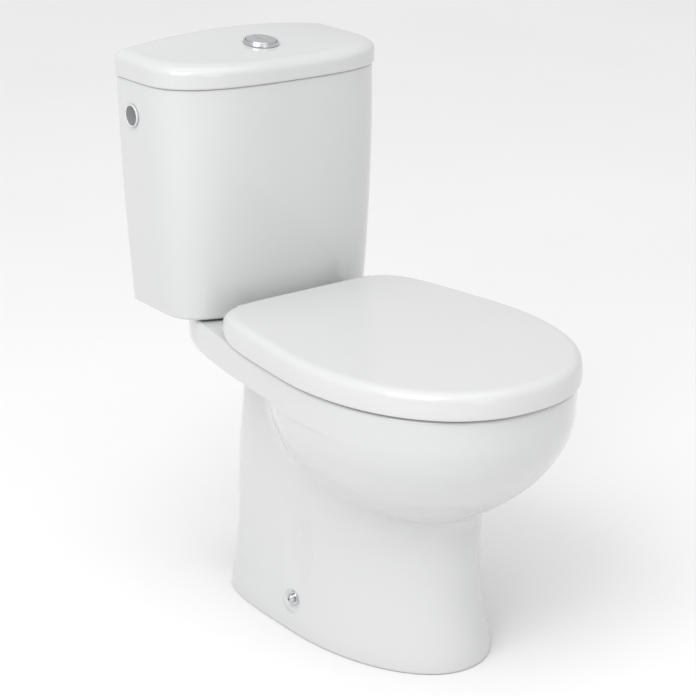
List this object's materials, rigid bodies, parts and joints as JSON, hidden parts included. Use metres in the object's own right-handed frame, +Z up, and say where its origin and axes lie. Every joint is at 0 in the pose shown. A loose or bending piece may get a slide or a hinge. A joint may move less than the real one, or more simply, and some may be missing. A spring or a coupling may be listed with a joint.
{
  "type": "close coupled toilet",
  "caption": "Floor-standing close coupled toilet: hollow china pan with outlet, cistern with lift-off lid, hinged soft-close seat and cover, dual flush push button, flush and fill valves.",
  "frame": {"origin": "on the floor at the middle of the bounding box, on the plane of symmetry", "axes": "+Z up, +Y towards the wall behind, -Y towards the user's feet, +X to the left of a seated user (right-hand side seen from the front)"},
  "size_m": [0.376, 0.6655, 0.766],
  "materials": {
    "vitreous_china": "glossy white glaze",
    "seat_plastic": "gloss white thermoset",
    "chrome": "polished",
    "steel": "satin",
    "brass": "machined",
    "grey_plastic": "moulded",
    "white_plastic": "moulded",
    "blue_plastic": "moulded",
    "rubber": "matt"
  },
  "bodies": {
    "base": {"pan": "vitreous_china", "cistern_tank": "vitreous_china", "side_plug_disc": "steel", "side_plug_ring": "white_plastic", "hinge_post_left": "chrome", "hinge_post_right": "chrome", "hinge_damper_left": "grey_plastic", "hinge_damper_right": "grey_plastic", "hinge_pin_left": "steel", "hinge_pin_right": "steel", "hinge_bolt_left": "white_plastic", "hinge_bolt_right": "white_plastic", "hinge_washer_left": "rubber", "hinge_washer_right": "rubber", "hinge_nut_left": "white_plastic", "hinge_nut_right": "white_plastic", "coupling_bolt_left": "brass", "coupling_bolt_right": "brass", "coupling_seal_left": "rubber", "coupling_seal_right": "rubber", "coupling_washer_left": "steel", "coupling_washer_right": "steel", "coupling_nut_left": "brass", "coupling_nut_right": "brass", "cistern_pad_left": "rubber", "cistern_pad_right": "rubber", "floor_bracket_left": "white_plastic", "floor_bracket_right": "white_plastic", "side_screw_left": "chrome", "side_screw_right": "chrome", "side_screw_washer_left": "chrome", "side_screw_washer_right": "chrome", "flush_valve_body": "white_plastic", "flush_valve_head": "blue_plastic", "flush_valve_back_nut": "white_plastic", "tank_gasket": "rubber", "fill_valve_body": "white_plastic", "inlet_tail": "brass", "inlet_back_nut": "brass"},
    "ring": {"seat_ring": "seat_plastic", "ring_buffer_front_left": "rubber", "ring_buffer_front_right": "rubber", "ring_buffer_rear_left": "rubber", "ring_buffer_rear_right": "rubber"},
    "cover": {"seat_cover": "seat_plastic", "cover_buffer_left": "rubber", "cover_buffer_right": "rubber"},
    "lid": {"cistern_lid": "vitreous_china", "button_bezel": "chrome", "button_nut": "white_plastic"},
    "full_flush": {"full_flush_button": "chrome", "full_flush_rod": "white_plastic"},
    "half_flush": {"half_flush_button": "chrome", "half_flush_rod": "white_plastic"},
    "valve_lift": {"flush_valve_tube": "white_plastic", "flush_valve_seal": "rubber"},
    "float": {"fill_valve_float": "blue_plastic"}
  },
  "joints": [
    {"name": "ring_hinge", "type": "hinge", "parent": "base", "child": "ring", "pos_m": [0, 0.132, 0.4136], "axis": [-1, 0, 0], "range_deg": [0, 90]},
    {"name": "cover_hinge", "type": "hinge", "parent": "ring", "child": "cover", "pos_m": [0, 0.132, 0.4136], "axis": [1, 0, 0], "range_deg": [-90, 0]},
    {"name": "lid_lift", "type": "slide", "parent": "base", "child": "lid", "axis": [0, 0, 1], "range_m": [0, 0.15]},
    {"name": "full_flush_press", "type": "slide", "parent": "lid", "child": "full_flush", "axis": [0, 0.1357, -0.9907], "range_m": [0, 0.006], "stiffness_N_per_m": 250, "springref_m": -0.004},
    {"name": "half_flush_press", "type": "slide", "parent": "lid", "child": "half_flush", "axis": [0, 0.1357, -0.9907], "range_m": [0, 0.006], "stiffness_N_per_m": 250, "springref_m": -0.004},
    {"name": "valve_lift_rise", "type": "slide", "parent": "base", "child": "valve_lift", "axis": [0, 0, 1], "range_m": [0, 0.018]},
    {"name": "float_rise", "type": "slide", "parent": "base", "child": "float", "axis": [0, 0, 1], "range_m": [0, 0.06]}
  ],
  "couplings": [
    {"joint": "valve_lift_rise", "follows": "full_flush_press", "ratio": 3}
  ]
}
